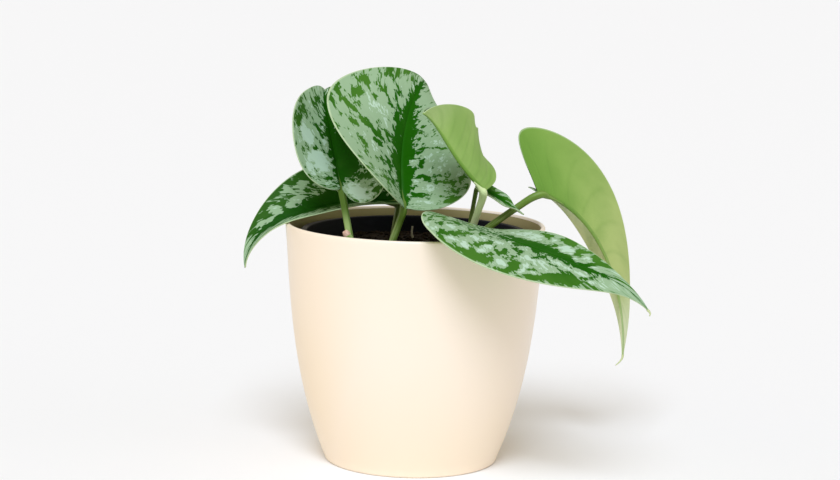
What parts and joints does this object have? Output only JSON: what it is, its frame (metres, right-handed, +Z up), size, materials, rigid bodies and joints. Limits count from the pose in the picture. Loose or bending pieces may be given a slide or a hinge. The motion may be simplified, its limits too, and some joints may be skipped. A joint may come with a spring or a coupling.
{
  "type": "potted satin pothos plant",
  "caption": "Young satin pothos with silver-spotted heart-shaped leaves, in a nursery pot standing in a smooth cream tapered cover pot.",
  "frame": {"origin": "centre of the cover pot's flat foot", "axes": "+Z up, -Y towards the viewer of the picture, +X to the viewer's right"},
  "size_m": [0.2147, 0.171, 0.2137],
  "materials": {
    "cream_glaze": "smooth satin cream",
    "black_plastic": "thin black moulded plastic",
    "potting_soil": "dark moist potting mix",
    "silver_leaf": "satin leaf, silver patches on green",
    "green_stalk": "smooth light green stalk"
  },
  "bodies": {
    "root": {"pot": "cream_glaze", "nursery_pot": "black_plastic", "soil": "potting_soil", "leaf_centre": "silver_leaf", "leaf_curled": "silver_leaf", "leaf_left": "silver_leaf", "leaf_drooping": "silver_leaf", "leaf_small": "silver_leaf", "leaf_right": "silver_leaf", "leaf_front": "silver_leaf", "stalk_centre": "green_stalk", "stalk_curled": "green_stalk", "stalk_left": "green_stalk", "stalk_drooping": "green_stalk", "stalk_small": "green_stalk", "stalk_right": "green_stalk", "stalk_front": "green_stalk", "cut_stem": "green_stalk"}
  },
  "joints": []
}
